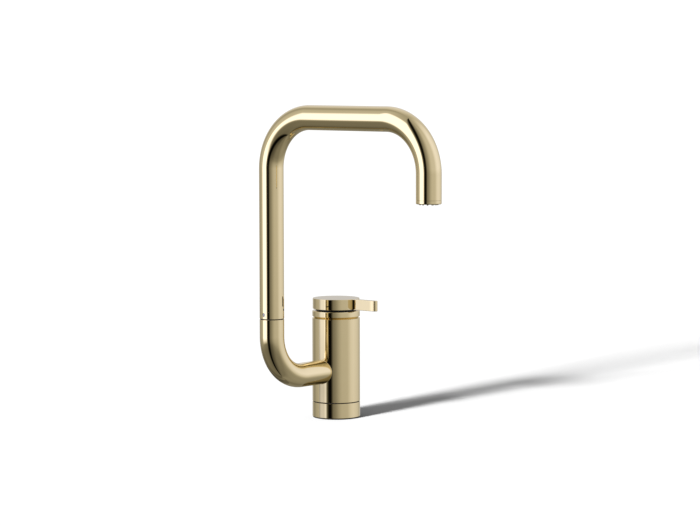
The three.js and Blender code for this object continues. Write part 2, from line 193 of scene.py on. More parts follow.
def grid_faces(rows: int, columns: int, wrap_rows: bool = False, wrap_columns: bool = True,
               start: int = 0) -> list[tuple[int, ...]]:
    """Joins a grid of points into quads.

    Args:
        rows: How many rows the grid has.
        columns: How many points a row has.
        wrap_rows: Whether the last row joins the first.
        wrap_columns: Whether the last column joins the first.
        start: The index of the grid's first point.

    Returns:
        The quads as tuples of point indices, row by row.
    """
    i = np.arange(rows if wrap_rows else rows - 1)
    j = np.arange(columns if wrap_columns else columns - 1)
    row, column = np.meshgrid(i, j, indexing="ij")
    below, beside = (row + 1) % rows, (column + 1) % columns
    quads = [row * columns + column, row * columns + beside,
             below * columns + beside, below * columns + column]
    return [tuple(quad) for quad in np.stack([q.ravel() + start for q in quads], axis=1).tolist()]


@dataclass
class Outline:
    """A smooth outline in a half plane: a radius and a height for each point, with its normal."""

    r: np.ndarray
    z: np.ndarray
    nr: np.ndarray
    nz: np.ndarray
    closed: bool

    @classmethod
    def through(cls, corners: Corners, closed: bool = True, steps: int = 6) -> "Outline":
        """Rounds the corners of a polygon, in millimetres.

        The outline runs up the outer side, so its outward normal is on its right. Each corner
        becomes an arc of its own radius, tangent to both sides, on which the normal turns
        evenly from one side's to the other's. A corner of radius 0 gets two points, one for
        each side's normal.

        Args:
            corners: (radius, height, corner radius) of each corner, in millimetres.
            closed: Whether the last corner joins the first. If not, the ends are kept sharp.
            steps: How many steps each arc has.

        Returns:
            The rounded outline, in metres.
        """
        spots = np.array([(r, z) for r, z, _ in corners], float)
        count = len(spots)
        out: list[tuple[float, float, float, float]] = []
        for k in range(count):
            here, radius = spots[k], corners[k][2]
            before, after = here - spots[k - 1], spots[(k + 1) % count] - here
            if not closed and k == 0:
                before = after
            if not closed and k == count - 1:
                after = before
            before, after = before / np.linalg.norm(before), after / np.linalg.norm(after)
            first, last = np.array([before[1], -before[0]]), np.array([after[1], -after[0]])
            turn = math.atan2(before[0] * after[1] - before[1] * after[0], float(before @ after))
            if abs(turn) < 1e-6:
                out.append((*here, *first))
                continue
            start = math.atan2(first[1], first[0])
            angles = start + turn * np.linspace(0, 1, (steps if radius > 0 else 1) + 1)
            facing = np.stack([np.cos(angles), np.sin(angles)], axis=1)
            side = math.copysign(radius, turn)
            centre = here - before * abs(radius) * math.tan(abs(turn) / 2) - first * side
            places = centre + facing * side if radius > 0 else np.repeat([here], len(angles), axis=0)
            out += [(*p, *n) for p, n in zip(places, facing)]
        r, z, nr, nz = np.array(out).T
        return cls(r * MM, z * MM, nr, nz, closed)

    def with_stations(self, heights: np.ndarray) -> "Outline":
        """Adds points where the outline crosses some heights, for a path that bends there.

        Args:
            heights: The heights, in metres.

        Returns:
            The outline with the added points, each on a straight side with that side's normal.
        """
        rows: list[tuple[float, float, float, float]] = []
        count = len(self.r)
        for k in range(count):
            a = np.array([self.r[k], self.z[k], self.nr[k], self.nz[k]])
            rows.append(tuple(a))
            if k == count - 1 and not self.closed:
                continue
            n = (k + 1) % count
            b = np.array([self.r[n], self.z[n], self.nr[n], self.nz[n]])
            low, high = sorted((a[1], b[1]))
            inside = heights[(heights > low + 1e-6) & (heights < high - 1e-6)]
            share = np.sort((inside - a[1]) / (b[1] - a[1])) if len(inside) else inside
            rows += [tuple(a + (b - a) * t) for t in share]
        r, z, nr, nz = np.array(rows).T
        return Outline(r, z, nr, nz, self.closed)


def turned(outline: Outline, columns: int = AROUND) -> Surface:
    """Turns an outline about Z: (r cos a, r sin a, z) for every point and every angle a.

    Args:
        outline: The outline. An open one starts and ends on the axis.
        columns: How many points go round.

    Returns:
        The closed surface. A row on the axis is drawn together to one point.
    """
    _, cos, sin = circle(columns)
    on_axis = (outline.r < 1e-7) if not outline.closed else np.zeros(len(outline.r), bool)
    keep = ~on_axis
    r, z, nr, nz = (values[keep] for values in (outline.r, outline.z, outline.nr, outline.nz))
    points = np.stack([np.outer(r, cos), np.outer(r, sin), np.outer(z, np.ones(columns))], axis=2)
    normals = np.stack([np.outer(nr, cos), np.outer(nr, sin), np.outer(nz, np.ones(columns))], axis=2)
    points, normals = points.reshape(-1, 3), normals.reshape(-1, 3)
    faces = grid_faces(len(r), columns, outline.closed)
    for pole in np.flatnonzero(on_axis):
        row = 0 if pole == 0 else len(r) - 1
        tip = len(points)
        points = np.vstack([points, [0.0, 0.0, outline.z[pole]]])
        normals = np.vstack([normals, [0.0, 0.0, math.copysign(1.0, outline.nz[pole])]])
        rim = row * columns + np.arange(columns)
        faces += [(int(a), int(b), tip) for a, b in zip(rim, np.roll(rim, -1))]
    return Surface(points, normals, faces)


@dataclass
class BentPath:
    """A path of straight runs joined by quarter-circle bends that all lie in one plane."""

    corners: np.ndarray
    bend_radii: Sequence[float]

    def __post_init__(self) -> None:
        """Works out each run's and bend's start, length and shape."""
        self.pieces: list[tuple[str, float, float, tuple[np.ndarray, ...], float]] = []
        ways = np.diff(self.corners, axis=0)
        lengths = np.linalg.norm(ways, axis=1)
        ways = ways / lengths[:, None]
        self.across = np.cross(ways[0], ways[1]) if len(ways) > 1 else np.array([1.0, 0, 0])
        start, at = 0.0, self.corners[0]
        for k, way in enumerate(ways):
            cut_before = self.bend_radii[k - 1] if k > 0 else 0.0
            cut_after = self.bend_radii[k] if k < len(self.bend_radii) else 0.0
            run = lengths[k] - cut_before - cut_after
            self.pieces.append(("run", start, run, (at, way), 0.0))
            start, at = start + run, at + way * run
            if cut_after > 0:
                onward = ways[k + 1]
                centre = at + onward * cut_after
                arc = cut_after * math.pi / 2
                self.pieces.append(("bend", start, arc, (centre, way, onward), cut_after))
                start, at = start + arc, centre + way * cut_after
        self.length = start

    def stations(self, steps: int = 48) -> np.ndarray:
        """Returns the distances along the path at which a bend needs a row of points."""
        bends = [p for p in self.pieces if p[0] == "bend"]
        return np.concatenate([np.linspace(s, s + n, steps + 1) for _, s, n, _, _ in bends])

    def at(self, distance: np.ndarray) -> tuple[np.ndarray, np.ndarray]:
        """Finds points on the path.

        On a run the point is start + way t. On a bend of radius R about a centre it is
        centre - onward R cos t + way R sin t, with t the angle turned so far.

        Args:
            distance: Distances along the path, in metres.

        Returns:
            The points and the unit directions of travel, each of shape (count, 3).
        """
        points, ways = np.zeros((len(distance), 3)), np.zeros((len(distance), 3))
        for kind, start, length, shape, radius in self.pieces:
            last = start + length >= self.length - 1e-9
            inside = (distance >= start - 1e-9) & ((distance < start + length) | last)
            along = (distance[inside] - start)[:, None]
            if kind == "run":
                points[inside], ways[inside] = shape[0] + shape[1] * along, shape[1]
                continue
            centre, way, onward = shape
            cos, sin = np.cos(along / radius), np.sin(along / radius)
            points[inside] = centre - onward * radius * cos + way * radius * sin
            ways[inside] = way * cos + onward * sin
        return points, ways


def swept(outline: Outline, path: BentPath, columns: int = AROUND) -> Surface:
    """Carries a turned shape along a bent path.

    The outline's height is the distance along the path. A point is path(z) + r (cos a N + sin a B),
    where B stands square to the path's plane and N = B x T lies in it.

    Args:
        outline: A closed outline whose heights are distances along the path.
        path: The path.
        columns: How many points go round the tube.

    Returns:
        The closed surface.
    """
    centre, way = path.at(outline.z)
    beside = np.cross(path.across, way)
    _, cos, sin = circle(columns)
    round_ = (cos[None, :, None] * beside[:, None, :]
              + sin[None, :, None] * path.across[None, None, :])
    points = centre[:, None, :] + outline.r[:, None, None] * round_
    normals = outline.nr[:, None, None] * round_ + outline.nz[:, None, None] * way[:, None, :]
    faces = grid_faces(len(outline.r), columns, outline.closed)
    return Surface(points.reshape(-1, 3), normals.reshape(-1, 3), faces)


def punched(surface: Surface, axis_point: Sequence[float], direction: Sequence[float],
            radius: float, depth: float, wall_r: float, edge: float = 0.0002) -> Surface:
    """Sinks a round blind hole into the side of an upright cylinder whose axis is along Z.

    The faces that lie within reach of the hole are taken away. Rings of points then run from
    the gap's rim to the hole's edge, every one on the cylinder, and on down a rounded lip,
    the wall and the floor.

    Args:
        surface: The surface that holds the cylinder.
        axis_point: Where the hole's axis meets the cylinder's axis.
        direction: The hole's outward direction, level.
        radius: The hole's radius, in metres.
        depth: How deep its floor is, in metres.
        wall_r: The cylinder's radius, in metres.
        edge: The radius of the hole's lip, in metres.

    Returns:
        The surface with the hole.
    """
    origin, out = np.array(axis_point, float), np.array(direction, float)
    up = np.array([0.0, 0.0, 1.0])
    side = np.cross(up, out)

    def flat(points: np.ndarray) -> np.ndarray:
        """Unrolls points of the cylinder to (arc length, height) from the hole's axis."""
        local = points - origin
        return np.stack([wall_r * np.arctan2(local @ side, local @ out), local[:, 2]], axis=1)

    def on_wall(spots: np.ndarray, r: float) -> np.ndarray:
        """Rolls (arc length, height) back on to a cylinder of radius r."""
        angle = spots[:, 0] / wall_r
        level = r * (np.cos(angle)[:, None] * out + np.sin(angle)[:, None] * side)
        return origin + level + np.outer(spots[:, 1], up)

    def outward(spots: np.ndarray) -> np.ndarray:
        """Returns the cylinder's outward normal at each (arc length, height)."""
        return on_wall(spots, 1.0) - on_wall(spots, 0.0)

    local = surface.points - origin
    reach = radius * 1.5
    radial = np.linalg.norm(local[:, :2], axis=1)
    spots = flat(surface.points)
    near = (abs(radial - wall_r) < 2e-5) & (np.abs(spots) < reach).all(axis=1)
    gone = [f for f in surface.faces if near[list(f)].any()]
    kept = [f for f in surface.faces if not near[list(f)].any()]
    directed = {(a, b) for f in gone for a, b in zip(f, f[1:] + f[:1])}
    step = {a: b for a, b in directed if (b, a) not in directed}
    loop = [next(iter(sorted(step)))]
    while step[loop[-1]] != loop[0]:
        loop.append(step[loop[-1]])
    rim = flat(surface.points[loop])
    toward = rim / np.linalg.norm(rim, axis=1)[:, None]
    facing = outward(toward * radius)
    inward = -(side * toward[:, :1] + up * toward[:, 1:])
    lip, floor_r = radius + edge, wall_r - depth
    rows, normals = [], []
    for share in (0.35, 0.7, 1.0):
        ring = rim + (toward * lip - rim) * share
        rows.append(on_wall(ring, wall_r))
        normals.append(outward(ring))
    for turn in np.linspace(0.25, 1.0, 4) * math.pi / 2:
        ring = toward * (lip - edge * math.sin(turn))
        rows.append(on_wall(ring, wall_r - edge * (1 - math.cos(turn))))
        normals.append(facing * math.cos(turn) + inward * math.sin(turn))
    rows += [on_wall(toward * radius, floor_r)] * 2
    normals += [inward, facing]
    start, count = len(surface.points), len(loop)
    points = np.vstack([surface.points] + rows + [on_wall(np.zeros((1, 2)), floor_r)])
    all_normals = np.vstack([surface.normals] + normals + [out[None, :]])
    rings = grid_faces(len(rows), count, start=start)
    first = [(loop[k], loop[(k + 1) % count], start + (k + 1) % count, start + k) for k in range(count)]
    last, tip = start + (len(rows) - 1) * count, len(points) - 1
    floor = [(last + k, last + (k + 1) % count, tip) for k in range(count)]
    return Surface(points, all_normals, kept + first + rings + floor)


# ---- finishes ------------------------------------------------------------------------------


def linear(colour: str) -> tuple[float, float, float, float]:
    """Turns an sRGB colour into the linear values that a shader takes.

    Args:
        colour: The colour, such as "#c9b98a".

    Returns:
        Its linear red, green and blue, and 1.
    """
    parts = [int(colour[k:k + 2], 16) / 255 for k in (1, 3, 5)]
    lin = [p / 12.92 if p <= 0.04045 else ((p + 0.055) / 1.055) ** 2.4 for p in parts]
    return (lin[0], lin[1], lin[2], 1.0)


class NodeTree:
    """A node tree that is written one node at a time."""

    def __init__(self, tree: bpy.types.NodeTree) -> None:
        """Starts from an empty tree."""
        self.tree = tree
        tree.nodes.clear()

    def add(self, kind: str, settings: dict[str, Any] | None = None, **links: Any) -> bpy.types.Node:
        """Adds a node with its settings and its links.

        Args:
            kind: The node's type, such as "ShaderNodeTexNoise".
            settings: Attributes of the node, such as {"operation": "MULTIPLY"}.
            links: A value or an output socket for each input, named as on the node with _ for a
                space, or i0, i1 and so on for an input by its number.

        Returns:
            The new node.
        """
        node = self.tree.nodes.new(kind)
        for name, value in (settings or {}).items():
            setattr(node, name, value)
        for name, value in links.items():
            numbered = name[0] == "i" and name[1:].isdigit()
            socket = node.inputs[int(name[1:])] if numbered else node.inputs[name.replace("_", " ")]
            if isinstance(value, Socket):
                self.tree.links.new(value, socket)
            else:
                socket.default_value = value
        return node

    def ramp(self, factor: Socket, stops: Sequence[tuple[float, Any]]) -> Socket:
        """Adds a colour ramp.

        Args:
            factor: What it reads.
            stops: (place, grey value or linear colour) of each stop, in order.

        Returns:
            The ramp's colour output.
        """
        node = self.add("ShaderNodeValToRGB", i0=factor)
        elements = node.color_ramp.elements
        while len(elements) < len(stops):
            elements.new(0.5)
        for element, (place, value) in zip(elements, stops):
            element.position = place
            element.color = value if isinstance(value, tuple) else (value, value, value, 1.0)
        return node.outputs["Color"]

    def share(self, value: Socket, low: float, high: float) -> Socket:
        """Adds a map range: 0 where the value is low, 1 where it's high, clamped to 0 and 1."""
        return self.add("ShaderNodeMapRange", Value=value, From_Min=low, From_Max=high).outputs[0]

    def mixed(self, share: Any, a: Any, b: Any) -> Socket:
        """Mixes two colours, a (1 - share) + b share.

        Args:
            share: How much of b there is.
            a: A colour, or a number for a grey.
            b: The same.

        Returns:
            The mixed colour.
        """
        a, b = ((c, c, c, 1.0) if isinstance(c, float) else c for c in (a, b))
        return self.add("ShaderNodeMix", {"data_type": "RGBA"}, i0=share, i6=a, i7=b).outputs[2]


def new_material(name: str) -> tuple[bpy.types.Material, NodeTree]:
    """Makes a material.

    Args:
        name: Its name.

    Returns:
        The material and its node tree, which is empty.
    """
    made = bpy.data.materials.new(name)
    made.use_nodes = True
    return made, NodeTree(made.node_tree)


@dataclass(frozen=True)
class Finish:
    """What a real surface is made of and how it was finished. Grain sizes are in millimetres."""

    name: str
    colour: str
    metallic: float
    roughness: float
    roughness_spread: float
    grain: float
    relief: float
    tint_spread: float = 0.0
    stretch: tuple[float, float, float] = (1.0, 1.0, 1.0)
    ior: float = 1.5
    sheen: float = 0.0

    def material(self) -> bpy.types.Material:
        """Builds the finish as a material, with its grain on Object coordinates.

        Returns:
            The material. Its colour, roughness and relief each follow a noise whose size is
            the finish's real grain.
        """
        made, net = new_material(self.name)
        place = net.add("ShaderNodeTexCoord").outputs["Object"]
        fitted = net.add("ShaderNodeMapping", i0=place, Scale=self.stretch).outputs[0]
        grain = net.add("ShaderNodeTexNoise", Vector=fitted, Scale=1 / (self.grain * MM),
                        Detail=4.0, Roughness=0.6).outputs[0]
        cloud = net.add("ShaderNodeTexNoise", Vector=fitted, Scale=0.12 / (self.grain * MM),
                        Detail=3.0).outputs[0]
        rough = net.add("ShaderNodeMapRange", Value=cloud, To_Min=self.roughness - self.roughness_spread,
                        To_Max=self.roughness + self.roughness_spread).outputs[0]
        base = linear(self.colour)
        dark = tuple(c * (1 - self.tint_spread) for c in base[:3]) + (1.0,)
        colour = net.ramp(cloud, [(0.3, dark), (0.7, base)])
        bump = net.add("ShaderNodeBump", Height=grain, Strength=1.0, Distance=self.relief * MM).outputs[0]
        shader = net.add("ShaderNodeBsdfPrincipled", Base_Color=colour, Metallic=self.metallic,
                         Roughness=rough, Normal=bump)
        if self.metallic < 1:
            shader.inputs["IOR"].default_value = self.ior
        shader.inputs["Sheen Weight"].default_value = self.sheen
        net.add("ShaderNodeOutputMaterial", Surface=shader.outputs[0])
        return made


class Finishes(Enum):
    """Every finish on the faucet."""

    # Zirconium nitride vapour-coated on mirror-polished brass: a pale gold mirror, with only a
    # trace of polishing haze and no visible grain.
    PALE_GOLD = Finish("pvd_pale_gold_polished_brass", "#eedbab", 1.0, 0.03, 0.008, 0.9, 0.00004,
                       tint_spread=0.012)
    # Free-machining brass straight off the lathe: yellow, with fine turning marks and a dull tarnish.
    RAW_BRASS = Finish("turned_raw_brass", "#c9a558", 1.0, 0.30, 0.08, 0.25, 0.004, tint_spread=0.18,
                       stretch=(1.0, 1.0, 8.0))
    # Austenitic stainless steel, turned: cool grey with rings too fine to show one by one.
    TURNED_STEEL = Finish("turned_stainless_steel", "#b9b9bb", 1.0, 0.24, 0.06, 0.2, 0.003,
                          tint_spread=0.08, stretch=(1.0, 1.0, 6.0))
    # Acetal, moulded: satin black with the faint pebble of a spark-eroded mould.
    BLACK_ACETAL = Finish("moulded_black_acetal", "#18181a", 0.0, 0.38, 0.06, 0.18, 0.006,
                          tint_spread=0.25, ior=1.48)
    # The same resin uncoloured: a waxy off-white.
    WHITE_ACETAL = Finish("moulded_natural_acetal", "#e8e5dd", 0.0, 0.42, 0.05, 0.2, 0.005,
                          tint_spread=0.05, ior=1.48)
    # EPDM and silicone, moulded: matt black, a little dusty.
    RUBBER = Finish("moulded_black_rubber", "#121212", 0.0, 0.72, 0.1, 0.15, 0.01, tint_spread=0.3,
                    ior=1.52, sheen=0.05)
    # Alumina, lapped flat: hard white with a wet gloss.
    ALUMINA = Finish("lapped_alumina", "#f0ede4", 0.0, 0.14, 0.03, 0.1, 0.0008, tint_spread=0.03,
                     ior=1.76)
    # Thermoplastic hose sheath, extruded: charcoal satin with faint lines along its length.
    HOSE_SHEATH = Finish("extruded_hose_sheath", "#2a2b2e", 0.0, 0.46, 0.07, 0.5, 0.012,
                         tint_spread=0.2, stretch=(1.0, 1.0, 0.06), ior=1.49)

    def build(self) -> bpy.types.Material:
        """Returns the finish's material, made on first use."""
        return bpy.data.materials.get(self.value.name) or self.value.material()


SLOT_FINISH = {
    "polished_gold": Finishes.PALE_GOLD,
    "raw_brass": Finishes.RAW_BRASS,
    "stainless": Finishes.TURNED_STEEL,
    "black_plastic": Finishes.BLACK_ACETAL,
    "white_plastic": Finishes.WHITE_ACETAL,
    "rubber": Finishes.RUBBER,
    "ceramic": Finishes.ALUMINA,
    "hose_sheath": Finishes.HOSE_SHEATH,
}


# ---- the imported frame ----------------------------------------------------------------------


class Frame:
    """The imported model: its sizes in millimetres, and the way pieces join it."""

    def __init__(self) -> None:
        """Loads the model and notes its box."""
        self.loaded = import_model()
        self.cad_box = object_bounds()
        record = self.loaded["record"]
        self.slots = {row["node"]: row["material_slot"] for row in record["subparts"]}
        bodies = record["behaviour"]["bodies"]
        self.body_of = {node: body for body, nodes in bodies.items() for node in nodes}

    def low(self, node: str) -> Vector:
        """Returns a node's lowest corner, in millimetres."""
        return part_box(node)[0] / MM

    def high(self, node: str) -> Vector:
        """Returns a node's highest corner, in millimetres."""
        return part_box(node)[1] / MM

    def radius(self, node: str) -> float:
        """Returns half a round node's width along X, in millimetres."""
        return (self.high(node).x - self.low(node).x) / 2

    def centre(self, node: str) -> Vector:
        """Returns the middle of a node's box, in millimetres."""
        return (self.low(node) + self.high(node)) / 2

    def span(self, node: str) -> tuple[float, float, float]:
        """Returns a round node's lowest and highest height and its radius, in millimetres."""
        return self.low(node).z, self.high(node).z, self.radius(node)

    def turn(self, name: str, node: str, corners: Corners, steps: int = 6,
             columns: int = AROUND, axis: Sequence[float] = (0.0, 0.0)) -> None:
        """Turns a rounded polygon about an upright axis into the piece that stands for a node.

        Args:
            name: The piece's name.
            node: The node.
            corners: (radius, height, corner radius) of each corner, in millimetres.
            steps: How many steps each corner's arc has.
            columns: How many points go round.
            axis: Where the axis stands, in metres.
        """
        outline = Outline.through(corners, steps=steps)
        self.piece(name, turned(outline, columns).placed(axis[0], axis[1]), node)

    def piece(self, name: str, surface: Surface, node: str, ride: bool = True) -> bpy.types.Object:
        """Makes a surface into a piece that stands for a CAD node.

        Args:
            name: The piece's name.
            surface: Its surface, in metres, in the row frame.
            node: The node whose body, slot and place it takes.
            ride: Whether it moves with the node's body. A piece that bends between two doesn't.

        Returns:
            The new object, which shades with the surface's own normals.
        """
        surface = surface.faced()
        mesh = bpy.data.meshes.new(name)
        mesh.from_pydata(surface.points.tolist(), [], surface.faces)
        mesh.update()
        mesh.polygons.foreach_set("use_smooth", np.ones(len(mesh.polygons), bool))
        lengths = np.linalg.norm(surface.normals, axis=1, keepdims=True)
        mesh.normals_split_custom_set_from_vertices((surface.normals / lengths).tolist())
        made = bpy.data.objects.new(name, mesh)
        bpy.context.scene.collection.objects.link(made)
        slot = self.slots[node]
        mesh.materials.append(SLOT_FINISH[slot].build())
        if ride:
            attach(made, self.body_of[node])
        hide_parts(node)
        LOG.info("%s stands for %s: %d faces", name, node, len(mesh.polygons))
        return made

    def dress_kept_nodes(self) -> None:
        """Gives every CAD node the finish of its slot."""
        for name, node in self.loaded["nodes"].items():
            finish = SLOT_FINISH[self.slots[name]].build()
            node.data.materials.clear()
            node.data.materials.append(finish)
        LOG.info("dressed %d nodes of the model", len(self.loaded["nodes"]))


# ---- sub-assemblies ------------------------------------------------------------------------


@dataclass
class Column:
    """The upright body: gasket, base ring, joint ring, shell, bonnet ring and glide ring."""

    frame: Frame
    edge: float = 0.3
    groove_depth: float = 1.9
    lower_bevel: float = 1.0
    upper_bevel: float = 1.1
    shoulder: float = 1.0
    bore: float = 22.0
    gasket_bore: float = 17.5
    gasket_edge: float = 0.35
    seal_edge: float = 0.1
    ring_bore: float = 20.0
    glide_bore: float = 13.0
    glide_rim: float = 18.6

    def build(self) -> None:
        """Builds the whole column."""
        self._ring("deck_gasket", "base_gasket", self.gasket_bore, self.gasket_edge, self.seal_edge)
        self._ring("base_trim_ring", "base_ring", self.ring_bore, self.edge, self.edge)
        self._ring("base_joint_ring", "base_seam_ring", self.ring_bore, self.seal_edge, self.seal_edge)
        self._shell()
        self._bonnet()
        self._glide()

    def _ring(self, name: str, node: str, bore: float, outer_edge: float, inner_edge: float) -> None:
        """Turns a plain ring with rounded edges, as wide and as high as its node.

        Args:
            name: The piece's name.
            node: The node that it stands for.
            bore: The radius of its bore.
            outer_edge: How much its outer edges are rounded.
            inner_edge: How much its inner edges are rounded.
        """
        low, high, r = self.frame.span(node)
        self.frame.turn(name, node, [(bore, low, inner_edge), (r, low, outer_edge),
                                     (r, high, outer_edge), (bore, high, inner_edge)])

    def _shell(self) -> None:
        """Turns the shell, bevelled at its top into the lower half of the bonnet's groove."""
        low, high, _ = self.frame.span("body_shell")
        r = self.frame.high("body_shell").x
        self.frame.turn("column_shell", "body_shell", [
            (self.bore, low, 0.1), (r, low, self.edge), (r, high - self.lower_bevel, 0.25),
            (r - self.groove_depth, high, 0.05), (self.bore, high, 0.05)])

    def _bonnet(self) -> None:
        """Turns the bonnet ring: the groove's upper half below, a soft shoulder above."""
        low, high, r = self.frame.span("bonnet_ring")
        self.frame.turn("bonnet_trim_ring", "bonnet_ring", [
            (self.bore, low, 0.05), (r - self.groove_depth, low, 0.05),
            (r, low + self.upper_bevel, 0.25), (r, high, self.shoulder), (self.bore, high, 0.2)], steps=8)

    def _glide(self) -> None:
        """Turns the stepped black ring that shows as the dark gap under the cap."""
        low, high, r = self.frame.span("bonnet_bearing")
        step, rim, bore = self.frame.high("bonnet_ring").z, self.glide_rim, self.glide_bore
        self.frame.turn("bonnet_glide_ring", "bonnet_bearing", [
            (bore, low, 0.2), (r, low, 0.2), (r, step, 0.2), (rim, step, 0.1), (rim, high, 0.2),
            (bore, high, 0.2)])


@dataclass
class Handle:
    """The cap that turns on the column, its lever blade and the set screw behind."""

    frame: Frame
    cap_edge: float = 0.4
    cap_wall: float = 2.4
    cap_roof: float = 3.0
    blade_edge: float = 0.45
    blade_fit: float = 0.03
    blade_steps: int = 9
    tip_steps: int = 41
    key_hole_r: float = 2.2
    key_hole_depth: float = 2.1

    def build(self) -> None:
        """Builds the cap, the blade and the screw."""
        self._cap()
        self._blade()
        socket_screw(self.frame, "handle_screw", "handle_set_screw", (0, 1, 0))

    def _cap(self) -> None:
        """Turns the cap, solid above and hollow below, and sinks the key hole into its back."""
        frame, node = self.frame, "handle_cap"
        low, high, r = frame.span(node)
        skirt, ceiling = r - self.cap_wall, high - self.cap_roof
        outline = Outline.through([(0, ceiling, 0), (skirt, ceiling, 0.5), (skirt, low, 0.15),
                                   (r, low, 0.25), (r, high, self.cap_edge), (0, high, 0)], closed=False)
        screw_z = frame.centre("handle_set_screw").z * MM
        fine = np.linspace(-4, 4, 17) * MM + screw_z  # rows for the hole to cut
        surface = turned(outline.with_stations(fine)).faced()
        holed = punched(surface, (0, 0, screw_z), (0, 1, 0), self.key_hole_r * MM,
                        self.key_hole_depth * MM, r * MM)
        frame.piece("handle_cap_polished", holed, node)

    def _blade(self) -> None:
        """Builds the blade: a stadium outline swept up through rounded top and bottom edges.

        A point of the surface is medial(u) + w(v) n(u) at height z(v). medial(u) runs along the
        blade's centre plane and stops at the tip's centre, n(u) is the outline's outward normal,
        and (w, z) is the blade's half section, which starts and ends on the centre plane.
        """
        frame, node = self.frame, "lever_blade"
        low, high = frame.low(node), frame.high(node)
        half, middle = (high.x - low.x) / 2, (high.x + low.x) / 2
        tip = low.y + half
        seat_r = frame.radius("handle_cap") + self.blade_fit
        section = Outline.through([(0, low.z, 0), (half, low.z, self.blade_edge),
                                   (half, high.z, self.blade_edge), (0, high.z, 0)], closed=False)
        steps = self.blade_steps
        run = np.linspace(0, 1, steps)
        turn = np.linspace(0, math.pi, self.tip_steps)[1:-1]
        side = np.concatenate([np.full(steps, -1.0), -np.cos(turn), np.full(steps, 1.0)])
        front = np.concatenate([np.zeros(steps), -np.sin(turn), np.zeros(steps)])
        share = np.concatenate([run, np.ones(len(turn)), run[::-1]])
        w, z = section.r[:, None] / MM, section.z[:, None]
        x = middle + w * side[None, :]
        root = -np.sqrt(seat_r**2 - x**2)
        y = root + (tip - root) * share[None, :] + w * front[None, :]
        points = np.stack([x * MM, y * MM, np.broadcast_to(z, x.shape)], axis=2)
        normals = np.stack([section.nr[:, None] * side, section.nr[:, None] * front,
                            np.broadcast_to(section.nz[:, None], x.shape)], axis=2)
        count = len(side)
        faces = grid_faces(len(w), count, wrap_columns=False)
        ends = [(k * count, (k + 1) * count, (k + 2) * count - 1, (k + 1) * count - 1)
                for k in range(len(w) - 1)]
        surface = Surface(points.reshape(-1, 3), normals.reshape(-1, 3), faces + ends)
        weld(frame.piece("lever_blade_polished", surface, node))


